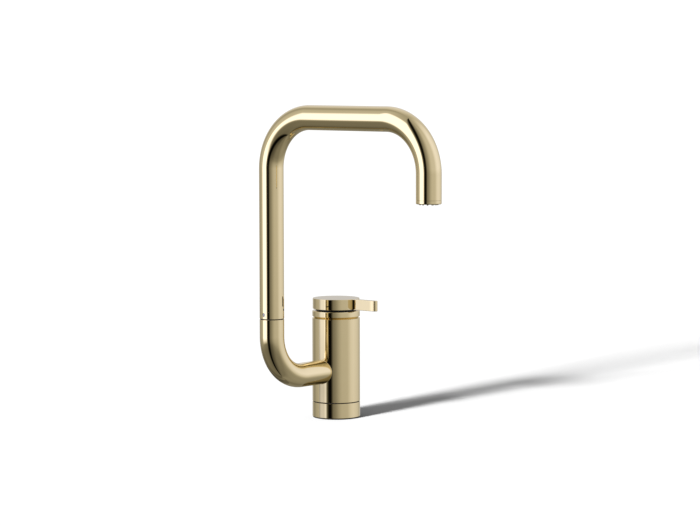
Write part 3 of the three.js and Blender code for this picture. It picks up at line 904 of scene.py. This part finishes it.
@dataclass
class Spout:
    """The fixed arm, the swivelling tube above it, its screw and the glide washer between."""

    frame: Frame
    wall: float = 1.5
    lip: float = 0.35
    outlet_edge: float = 0.08
    fillet: float = 0.35
    arm_end: float = -15.0
    arm_inset: float = 2.0
    arm_overlap: float = 0.02
    arm_bend: float = 44.5
    flare_run: float = 14.0
    tube_bend: float = 52.7
    collar_gap: float = 0.12
    screw_hole_r: float = 1.9
    screw_hole_depth: float = 1.35
    washer_bore: float = 9.8
    washer_play: float = 0.05

    def build(self) -> None:
        """Builds the arm, the washer, the tube and its set screw."""
        self._arm()
        self._washer()
        self._tube()
        socket_screw(self.frame, "spout_screw", "spout_set_screw", (-1, 0, 0))

    def _riser(self) -> Vector:
        """Returns the riser's axis at the arm's top, in millimetres."""
        return self.frame.centre("swivel_post")

    def _arm(self) -> None:
        """Sweeps the elbow and flares its end into the column with a brazed fillet.

        Past the flare the tube is a plain sweep. On the flare a point at radius r and angle a
        has x = -sqrt(R^2 - (r cos a)^2) less its height on the fillet's quarter circle, so the
        joint follows the column of radius R.
        """
        frame, node = self.frame, "spout_arm"
        riser, top, column_r = self._riser(), frame.high(node).z, frame.high("body_shell").x
        r = (frame.high(node).y - frame.low(node).y) / 2
        level = frame.low(node).z + r
        corners = np.array([(self.arm_end, 0, level), (riser.x, 0, level), (riser.x, 0, top)]) * MM
        path = BentPath(corners, [self.arm_bend * MM])
        length, bore, clear = path.length / MM, r - self.wall, self.flare_run
        outline = Outline.through([(bore, self.arm_inset, 0), (r, self.arm_inset, 0),
                                   (r, length, self.lip), (bore, length, 0.2)])
        outline = outline.with_stations(np.append(path.stations(), clear * MM))
        surface = swept(outline, path)
        grid = surface.points.reshape(len(outline.r), AROUND, 3)
        facing = surface.normals.reshape(len(outline.r), AROUND, 3)
        outer = np.flatnonzero((outline.r > (r - 0.01) * MM) & (outline.z < (clear - 0.5) * MM))
        _, cos, sin = circle(AROUND)
        rows, row_normals = [], []
        inward = np.array([-1.0, 0, 0])
        round_ = cos[:, None] * np.cross(path.across, inward) + sin[:, None] * path.across
        for turn in np.linspace(0, 1, 9) * math.pi / 2:
            flare = r + self.fillet * (1 - math.sin(turn))
            off = self.fillet * (1 - math.cos(turn))
            sideways = flare * round_[:, 1]
            x = -np.sqrt(column_r**2 - sideways**2) - off + self.arm_overlap
            rows.append(np.stack([x, sideways, level + flare * round_[:, 2]], axis=1) * MM)
            row_normals.append(round_ * math.sin(turn) + inward * math.cos(turn))
        head = outer[-1] + 1
        points = np.concatenate([grid[:head], rows, grid[head:]])
        normals = np.concatenate([facing[:head], row_normals, facing[head:]])
        faces = grid_faces(len(points), AROUND, wrap_rows=True)
        frame.piece("arm_elbow", Surface(points.reshape(-1, 3), normals.reshape(-1, 3), faces), node)

    def _washer(self) -> None:
        """Turns the black washer that shows as the line between the arm and the spout."""
        low, high, r = self.frame.span("swivel_washer")
        riser, bore = self._riser(), self.washer_bore
        self.frame.turn("swivel_glide_washer", "swivel_washer", [
            (bore, low, 0.05), (r, low, 0.2), (r, high, 0.2), (bore, high, 0.05)],
            columns=AROUND_SMALL, axis=(riser.x * MM, riser.y * MM))

    def _tube(self) -> None:
        """Sweeps the spout's wall, outside and bore, and sinks the set screw's hole in its foot."""
        frame, node = self.frame, "spout_tube"
        riser, low, high = self._riser(), frame.low(node), frame.high(node)
        r = riser.x - low.x
        outlet = frame.centre("spray_collar")
        foot = frame.high("swivel_washer").z + self.washer_play
        end = frame.high("spray_collar").z + self.collar_gap
        top = high.z - r
        corners = np.array([(riser.x, riser.y, foot), (riser.x, riser.y, top),
                            (riser.x, outlet.y, top), (riser.x, outlet.y, end)]) * MM
        path = BentPath(corners, [self.tube_bend * MM] * 2)
        length, bore = path.length / MM, r - self.wall
        outline = Outline.through([(bore, 0, 0.2), (r, 0, self.lip), (r, length, self.outlet_edge),
                                   (bore, length, self.outlet_edge)])
        screw_z = frame.centre("spout_set_screw").z
        fine = (np.linspace(-3.5, 3.5, 15) + screw_z - foot) * MM  # rows for the hole to cut
        stations = np.concatenate([path.stations(), fine])
        surface = swept(outline.with_stations(stations), path).faced()
        axis = (riser.x * MM, riser.y * MM, screw_z * MM)
        holed = punched(surface, axis, (-1, 0, 0), self.screw_hole_r * MM,
                        self.screw_hole_depth * MM, r * MM)
        frame.piece("spout_tube_polished", holed, node)


def socket_screw(frame: Frame, name: str, node: str, out: tuple[int, int, int]) -> None:
    """Turns a set screw with a hexagon socket sunk in its outer end.

    The socket's wall is a hexagon: at angle a its distance from the axis is
    s / cos(a mod 60 degrees - 30 degrees), and it blends to the round rim at the end face.

    Args:
        frame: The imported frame.
        name: The piece's name.
        node: The node that it stands for.
        out: The direction in which its outer end faces.
    """
    size = frame.high(node) - frame.low(node)
    half, radius = abs(size.dot(Vector(out))) / 2, size.z / 2
    angle, cos, sin = circle(AROUND_SMALL)
    flat = 0.48 * radius / np.cos(np.mod(angle, math.pi / 3) - math.pi / 6)
    disc = np.ones(AROUND_SMALL)
    edge, floor, core = 0.12 * radius, half - radius, 0.02
    # Each level is (reach, height, the normal's share outwards and up).
    levels = [(flat * core, floor, 0, 1), (flat, floor, 0, 1), (flat, half, -1, 0), (flat, half, 0, 1),
              (disc * (radius - edge), half, 0, 1), (disc * radius, half - edge, 1, 0),
              (disc * radius, edge - half, 1, 0), (disc * (radius - edge), -half, 0, -1),
              (disc * radius * core, -half, 0, -1)]
    around = np.stack([cos, sin, np.zeros(AROUND_SMALL)], axis=1)
    rows = [around * (reach * MM)[:, None] + np.array([0, 0, height * MM])
            for reach, height, _, _ in levels]
    normals = [around * outwards + np.array([0.0, 0.0, up]) for _, _, outwards, up in levels]
    points = np.vstack(rows + [np.array([[0, 0, floor * MM], [0, 0, -half * MM]])])
    facing = np.vstack(normals + [np.array([[0, 0, 1.0], [0, 0, -1.0]])])
    faces = grid_faces(len(levels), AROUND_SMALL)
    last = (len(levels) - 1) * AROUND_SMALL
    for rim, tip in ((0, len(points) - 2), (last, len(points) - 1)):
        faces += [(rim + k, rim + (k + 1) % AROUND_SMALL, tip) for k in range(AROUND_SMALL)]
    surface = Surface(points, facing, faces).laid_along(out, tuple(frame.centre(node) * MM))
    frame.piece(name, surface, node)


def weld(piece: bpy.types.Object) -> None:
    """Merges points that lie on each other, as along a seam or at a pole.

    Args:
        piece: The piece whose mesh is changed.
    """
    work = bmesh.new()
    work.from_mesh(piece.data)
    bmesh.ops.remove_doubles(work, verts=work.verts, dist=1e-7)
    work.to_mesh(piece.data)
    work.free()


@dataclass
class Spray:
    """The pull-down spray: collar, face, nozzles, wand, coupling and the hose that draws out."""

    frame: Frame
    collar_wall: float = 2.1
    face_bore: float = 4.0
    mat_thickness: float = 1.1
    nozzle_bore: float = 0.28
    nozzle_tip: float = 0.62
    nozzle_foot: float = 1.0
    nozzle_depth: float = 0.6
    nozzle_rings: Table = ((12, 8.9, 0.0), (6, 6.1, 0.5))
    wand_bore: float = 8.0
    neck_r: float = 7.0
    neck_bore: float = 5.4
    neck_height: float = 6.6
    rib_count: int = 6
    rib_start: float = 4.0
    rib_pitch: float = 1.8
    rib_depth: float = 0.35
    nut_height: float = 4.2
    nut_step: float = 0.9
    crimp: float = 0.35

    def build(self) -> None:
        """Builds each piece of the spray."""
        self.axis = self.frame.centre("spray_collar") * MM
        self._collar()
        self._face()
        self._nozzles()
        self._wand()
        self._coupling()
        self._hose()

    def _collar(self) -> None:
        """Turns the gold collar below the end of the tube."""
        low, high, r = self.frame.span("spray_collar")
        bore = r - self.collar_wall
        self.frame.turn("outlet_collar", "spray_collar", [
            (bore, low + 0.3, 0.05), (bore + 0.9, low, 0.2), (r, low, 0.9), (r, high, 0.08),
            (bore, high, 0.08)], steps=8, axis=self.axis)

    def _face(self) -> None:
        """Turns the steel face plate, dished towards the flow insert in its middle."""
        low, high, r = self.frame.span("spray_plate")
        bore = self.face_bore
        self.frame.turn("spray_face_plate", "spray_plate", [
            (bore, low + 0.5, 0.1), (bore + 1.0, low, 0.4), (r, low, 0.2), (r, high, 0.1),
            (bore, high, 0.1)], axis=self.axis)

    def _nozzles(self) -> None:
        """Turns the rubber mat and stands its tapered nozzles through the face plate."""
        low, high, r = self.frame.span("nozzle_mat")
        under, bore = high - self.mat_thickness, self.nozzle_bore
        mat = Outline.through([(self.face_bore, under, 0.1), (r, under, 0.1), (r, high, 0.1),
                               (self.face_bore, high, 0.1)])
        parts = [turned(mat, AROUND_SMALL)]
        inside, root = low + self.nozzle_depth, under - 0.1
        cone = Outline.through([(0, inside, 0), (bore, inside, 0), (bore, low, 0.1),
                                (self.nozzle_tip, low, 0.2), (self.nozzle_foot, root, 0), (0, root, 0)],
                               closed=False, steps=3)
        cone = Outline(cone.r[::-1], cone.z[::-1], cone.nr[::-1], cone.nz[::-1], False)
        nozzle = turned(cone, 16)
        for count, ring, shift in self.nozzle_rings:
            for k in range(count):
                angle = (k + shift) * 2 * math.pi / count
                parts.append(nozzle.placed(ring * MM * math.cos(angle), ring * MM * math.sin(angle)))
        surface = parts[0].joined(*parts[1:]).placed(self.axis.x, self.axis.y)
        self.frame.piece("nozzle_mat_moulded", surface, "nozzle_mat")

    def _wand(self) -> None:
        """Turns the slim wand: a grip with shallow ribs that tapers to the hose coupling."""
        low, high, r = self.frame.span("wand_shell")
        waist, shoulder = r - self.rib_depth, high - self.neck_height
        grooves = ((r, 0.0), (waist, 0.35), (waist, 0.8), (r, 1.15))
        ribs = [(reach, low + self.rib_start + k * self.rib_pitch + rise, 0.15)
                for k in range(self.rib_count) for reach, rise in grooves]
        self.frame.turn("spray_wand", "wand_shell", [
            (self.wand_bore, low, 0.1), (r, low, 0.2), *ribs, (r, shoulder, 1.5),
            (self.neck_r, high, 0.5), (self.neck_bore, high, 0.2), (self.neck_bore, shoulder + 2.0, 0.3),
            (self.wand_bore, shoulder - 2.0, 0.3)], steps=4, axis=self.axis)

    def _coupling(self) -> None:
        """Turns the hose coupling, a hexagon nut below a crimped ferrule."""
        low, high, r = self.frame.span("hose_nut")
        ferrule, bore, top = r - self.nut_step, self.face_bore, low + self.nut_height
        pinch = ferrule - self.crimp
        outline = Outline.through([(bore, low, 0.1), (r, low, 0.3), (r, top, 0.3),
                                   (ferrule, top + 0.3, 0.1), (ferrule, top + 1.8, 0.2),
                                   (pinch, top + 2.2, 0.15), (pinch, top + 3.2, 0.15),
                                   (ferrule, top + 3.6, 0.2), (ferrule, high, 0.3),
                                   (bore, high, 0.2)], steps=4)
        surface = turned(outline, AROUND_SMALL)
        angle = np.arctan2(surface.points[:, 1], surface.points[:, 0])
        radius = np.linalg.norm(surface.points[:, :2], axis=1)
        nut = (surface.points[:, 2] < (top + 0.1) * MM) & (radius > (ferrule + 0.3) * MM)
        across = 0.9 * r * MM / np.cos(np.mod(angle, math.pi / 3) - math.pi / 6)
        share = np.where(nut, np.minimum(1.0, across / np.maximum(radius, 1e-9)), 1.0)
        surface.points[:, :2] *= share[:, None]
        self.frame.piece("hose_coupling", surface.placed(self.axis.x, self.axis.y), "hose_nut")

    def _hose(self) -> None:
        """Sweeps the length of hose that draws out, straight down the outlet's axis."""
        low, high, r = self.frame.span("hose_pull_length")
        rows = np.linspace(low, high, 25) * MM
        outline = Outline.through([(0, low, 0), (r, low, 0.3), (r, high, 0.3), (0, high, 0)], closed=False)
        surface = turned(outline.with_stations(rows), AROUND_SMALL).placed(self.axis.x, self.axis.y)
        made = self.frame.piece("drawn_hose", surface, "hose_pull_length", ride=False)
        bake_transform(made)


# ---- studio --------------------------------------------------------------------------------


@dataclass(frozen=True)
class Walls:
    """What the polished metal mirrors, as plain tables that the room's ramps read.

    Azimuths are in degrees from the studio's front, positive to the right. Elevations are in
    degrees above the horizon. Levels are radiances, with the floor's white as 1.
    """

    round_levels: Table = (
        (-180, 0.80), (-160, 0.72), (-148, 0.58), (-136, 0.40), (-128, 0.39), (-112, 0.56),
        (-96, 0.62), (-50, 0.50), (-24, 0.24), (-16, 0.24), (-8, 0.29), (0, 0.36), (16, 0.57),
        (28, 0.67), (56, 0.70), (64, 0.80), (76, 0.94), (92, 1.0), (112, 0.93), (128, 0.84),
        (137, 0.68), (150, 0.65), (166, 0.74), (180, 0.80))
    rise_levels: Table = (
        (-90, 0.30), (-60, 0.30), (-45, 0.33), (-36, 0.33), (-28, 0.34), (-20, 0.43), (-12, 0.70),
        (-4, 0.87), (4, 1.0), (90, 1.0))
    ceiling: float = 0.42
    ceiling_share: Table = (
        (-90, 0.0), (48, 0.0), (64, 0.3), (76, 0.7), (88, 1.0), (90, 1.0))
    panel_level: float = 1.6
    panel_round: Table = (
        (-180, 0.0), (-93, 0.0), (-86, 1.0), (-51, 1.0), (-46, 0.0), (180, 0.0))
    panel_rise: Table = (
        (-90, 0.0), (-18, 0.0), (-8, 1.0), (42, 1.0), (52, 0.0), (90, 0.0))
    flag_round: Table = (
        (-180, 1.0), (-47, 1.0), (-41, 0.2), (-36, 0.015), (-25, 0.015), (-22, 0.14), (-14, 1.0),
        (180, 1.0))
    doorway_level: float = 0.62
    doorway_round: Table = (
        (-180, 1.0), (-168, 1.0), (-160, 0.0), (160, 0.0), (168, 1.0), (180, 1.0))
    doorway_rise: Table = (
        (-90, 0.0), (0, 0.0), (2, 1.0), (9, 1.0), (14, 0.0), (90, 0.0))
    tints: tuple[tuple[float, tuple[float, float, float, float]], ...] = (
        (0.0, (1.0, 0.96, 0.80, 1.0)), (0.3, (1.0, 0.99, 0.93, 1.0)), (0.6, (1.0, 1.0, 1.02, 1.0)),
        (1.0, (1.0, 1.03, 1.25, 1.0)))


@dataclass
class Studio:
    """A camera, a pale floor, a key light, the room that the metal mirrors, and a net of painted
    reflection shade that only the metal sees.

    Bearings and azimuths are in degrees. The camera's distances are in metres, and the net's
    sizes are in millimetres.
    """

    azimuth: float = -49.93
    elevation: float = 4.68
    roll: float = -0.10
    distance: float = 2.7066
    lens: float = 131.47
    aim_right: float = 0.01484
    aim_up: float = 0.16426
    walls: Walls = Walls()
    key_width: float = 5.4
    key_light: float = 3.42
    key_lamps: Table = (
        (-45.0, 12.0, 0.09), (-39.5, 15.5, 0.29), (-38.0, 18.0, 0.20), (-35.0, 17.5, 0.33),
        (-33.5, 33.0, 0.09))
    fill: float = 0.23
    backdrop: float = 1.1
    scrim_x: float = -78.0
    scrim_panels: Table = (
        (13.5, 67.0, -14.0, 130.0), (-4.0, 13.5, -14.0, 36.0), (-4.0, 13.5, 64.0, 130.0))
    # Painted reflection shade: how much of the room shows through the net, along it and up it.
    reflection_shade_across: Table = ((0.0, 1.0), (0.11, 1.0), (0.14, 0.78), (0.38, 0.78), (0.46, 0.70),
                           (0.54, 0.60), (1.0, 0.60))
    reflection_shade_up: Table = ((0.0, 0.60), (0.17, 0.54), (0.4, 0.72), (0.63, 0.80), (1.0, 0.78))

    def build(self) -> None:
        """Builds the camera, the floor, the lights and the room."""
        self._camera()
        self._floor()
        self._key()
        self._room()
        self._scrim()
        bpy.context.scene.cycles.caustics_reflective = False
        view = bpy.context.scene.view_settings
        view.view_transform = "Standard"
        view.look = "None"

    def _axes(self) -> tuple[Vector, Vector, Vector]:
        """Works out the camera's axes, without its roll.

        Returns:
            The directions to its right, up and back.
        """
        a, e = math.radians(self.azimuth), math.radians(self.elevation)
        right = Vector((math.cos(a), math.sin(a), 0))
        back = Vector((math.sin(a) * math.cos(e), -math.cos(a) * math.cos(e), math.sin(e)))
        return right, back.cross(right), back

    def _level_axes(self) -> tuple[Vector, Vector]:
        """Returns the level directions towards the camera and to its right."""
        right, _, back = self._axes()
        return Vector((back.x, back.y, 0)).normalized(), right

    def _hang(self, name: str, points: np.ndarray, faces: list[tuple[int, ...]],
              made: bpy.types.Material) -> bpy.types.Object:
        """Makes a surface into a part of the set.

        Args:
            name: The part's name.
            points: The surface's points, in metres.
            faces: Its faces.
            made: Its material.

        Returns:
            The new object.
        """
        mesh = bpy.data.meshes.new(name)
        mesh.from_pydata(points.tolist(), [], faces)
        mesh.materials.append(made)
        part = bpy.data.objects.new(name, mesh)
        bpy.context.scene.collection.objects.link(part)
        return part

    def _camera(self) -> None:
        """Places the camera."""
        right, up, back = self._axes()
        tilt = math.radians(self.roll)
        level = right * math.cos(tilt) + up * math.sin(tilt)
        data = bpy.data.cameras.new("studio_camera")
        data.lens, data.sensor_width = self.lens, 36.0
        camera = bpy.data.objects.new("studio_camera", data)
        aim = right * self.aim_right + Vector((0, 0, self.aim_up))
        turn = Matrix((level, back.cross(level), back)).transposed()
        camera.matrix_world = Matrix.Translation(aim + back * self.distance) @ turn.to_4x4()
        bpy.context.scene.collection.objects.link(camera)
        bpy.context.scene.camera = camera

    def _floor(self) -> None:
        """Lays the pale floor, a disc that the metal doesn't mirror."""
        rings = np.concatenate([[0.0], np.geomspace(0.05, 6.0, 24)])
        outline = Outline(rings[::-1], np.full(len(rings), -0.0002), np.zeros(len(rings)),
                          np.ones(len(rings)), False)
        surface = turned(outline, 96).faced()
        made, net = new_material("matt_white_floor")
        shader = net.add("ShaderNodeBsdfPrincipled", Base_Color=linear("#e8e8e8"), Roughness=0.9,
                         Specular_IOR_Level=0.0)
        net.add("ShaderNodeOutputMaterial", Surface=shader.outputs[0])
        floor = self._hang("studio_floor", surface.points, surface.faces, made)
        floor.visible_glossy = False
        floor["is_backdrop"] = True

    def _scrim(self) -> None:
        """Hangs a net of painted reflection shade behind the arm, in three panels round it, to dim the
        panel in the column.

        It only shows in the metal, as painted shade in the reflection. Its density, and so that painted
        shade, changes a little along it and up it. Each panel is (near y, far y, low z, high z), in
        millimetres.
        """
        corners = [(self.scrim_x, y, z) for y0, y1, z0, z1 in self.scrim_panels
                   for y, z in ((y0, z0), (y1, z0), (y1, z1), (y0, z1))]
        faces = [tuple(range(4 * k, 4 * k + 4)) for k in range(len(self.scrim_panels))]
        # The net's colour is painted reflection shade: it only dims what the column mirrors.
        made, net = new_material("painted_reflection_shade_net")
        place = net.add("ShaderNodeTexCoord").outputs["Object"]
        split = net.add("ShaderNodeSeparateXYZ", i0=place)
        across = net.share(split.outputs["Y"], 0.0, 100 * MM)
        up = net.share(split.outputs["Z"], 0.0, 150 * MM)
        sideways = net.ramp(across, self.reflection_shade_across)
        upright = net.ramp(up, self.reflection_shade_up)
        through = net.add("ShaderNodeMix", {"data_type": "RGBA", "blend_type": "MULTIPLY"}, i0=1.0,
                          i6=sideways, i7=upright)
        sheer = net.add("ShaderNodeBsdfTransparent", Color=through.outputs[2])
        net.add("ShaderNodeOutputMaterial", Surface=sheer.outputs[0])
        scrim = self._hang("reflection_shade_scrim", np.array(corners) * MM, faces, made)
        scrim.visible_camera = False
        scrim.visible_diffuse = False
        scrim.visible_shadow = False
        scrim.visible_transmission = False
        scrim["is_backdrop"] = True

    def _key(self) -> None:
        """Hangs the key light's lamps at the front left, as a low wide softbox.

        Each lamp is (bearing, height, share of the light that reaches the floor), in degrees.
        Together they leave the shadow firm at its root and fan it out and fade it further off.
        """
        front, right = self._level_axes()
        for bearing, height, share in np.radians(self.key_lamps) * (1, 1, math.degrees(1)):
            level = front * math.cos(bearing) + right * math.sin(bearing)
            way = level * math.cos(height) + Vector((0, 0, math.sin(height)))
            data = bpy.data.lights.new("key_light", "SUN")
            data.energy = share * self.key_light / math.sin(height)
            data.angle = math.radians(self.key_width)
            key = bpy.data.objects.new("key_light", data)
            key.location = way
            key.rotation_mode = "QUATERNION"
            key.rotation_quaternion = way.to_track_quat("Z", "Y")
            key.visible_glossy = False
            bpy.context.scene.collection.objects.link(key)

    def _room(self) -> None:
        """Paints the room on the world, by direction.

        The radiance is round(azimuth) rise(elevation), eased towards the ceiling's overhead.
        The soft panel at the left and the dim doorway behind are laid over it, and all of it is
        multiplied by the black flag and tinted by its own brightness. Only the metal sees that:
        the floor takes an even fill, and the camera sees white.
        """
        world = bpy.data.worlds.new("studio_room")
        bpy.context.scene.world = world
        world.use_nodes = True
        world.cycles.sampling_method = "NONE"
        net, walls = NodeTree(world.node_tree), self.walls
        way = net.add("ShaderNodeTexCoord").outputs["Generated"]
        ahead, beside = (net.add("ShaderNodeVectorMath", {"operation": "DOT_PRODUCT"}, i0=way,
                                 i1=axis).outputs["Value"] for axis in self._level_axes())
        angle = net.add("ShaderNodeMath", {"operation": "ARCTAN2"}, i0=beside, i1=ahead).outputs[0]
        turn = net.share(angle, -math.pi, math.pi)
        height = net.add("ShaderNodeSeparateXYZ", i0=way).outputs["Z"]
        lift = net.add("ShaderNodeMath", {"operation": "ARCSINE"}, i0=height).outputs[0]
        rise = net.share(lift, -math.pi / 2, math.pi / 2)

        def by_azimuth(stops: Sequence[tuple[float, float]]) -> Socket:
            """Reads a table of (degrees round, level)."""
            return net.ramp(turn, [((a + 180) / 360, level) for a, level in stops])

        def by_elevation(stops: Sequence[tuple[float, float]]) -> Socket:
            """Reads a table of (degrees up, level)."""
            return net.ramp(rise, [((a + 90) / 180, level) for a, level in stops])

        def times(a: Socket, b: Socket) -> Socket:
            """Multiplies two grey values."""
            return net.add("ShaderNodeMath", {"operation": "MULTIPLY"}, i0=a, i1=b).outputs[0]

        def eased(share: Any, a: Any, b: Any) -> Socket:
            """Mixes two grey values: a where share is 0, b where it's 1."""
            return net.add("ShaderNodeMix", {"data_type": "FLOAT"}, i0=share, i2=a, i3=b).outputs[0]

        wall = times(by_azimuth(walls.round_levels), by_elevation(walls.rise_levels))
        wall = eased(by_elevation(walls.ceiling_share), wall, walls.ceiling)
        panel = times(by_azimuth(walls.panel_round), by_elevation(walls.panel_rise))
        wall = eased(panel, wall, walls.panel_level)
        doorway = times(by_azimuth(walls.doorway_round), by_elevation(walls.doorway_rise))
        wall = eased(doorway, wall, walls.doorway_level)
        wall = times(wall, by_azimuth(walls.flag_round))
        tint = net.ramp(wall, walls.tints)
        mirrored = net.add("ShaderNodeVectorMath", {"operation": "SCALE"}, i0=tint)
        net.tree.links.new(wall, mirrored.inputs["Scale"])
        ray = net.add("ShaderNodeLightPath").outputs
        lit = net.mixed(ray["Is Diffuse Ray"], mirrored.outputs[0], self.fill)
        seen = net.mixed(ray["Is Camera Ray"], lit, self.backdrop)
        shade = net.add("ShaderNodeBackground", Color=seen, Strength=1.0)
        net.add("ShaderNodeOutputWorld", Surface=shade.outputs[0])


def main() -> None:
    """Builds the studio and each sub-assembly."""
    logging.basicConfig(level=logging.INFO, format="%(message)s")
    frame = Frame()
    Studio().build()
    frame.dress_kept_nodes()
    for assembly in (Column(frame), Handle(frame), Spout(frame), Spray(frame)):
        assembly.build()
        LOG.info("built the %s", type(assembly).__name__.lower())


if __name__ == "__main__":
    main()
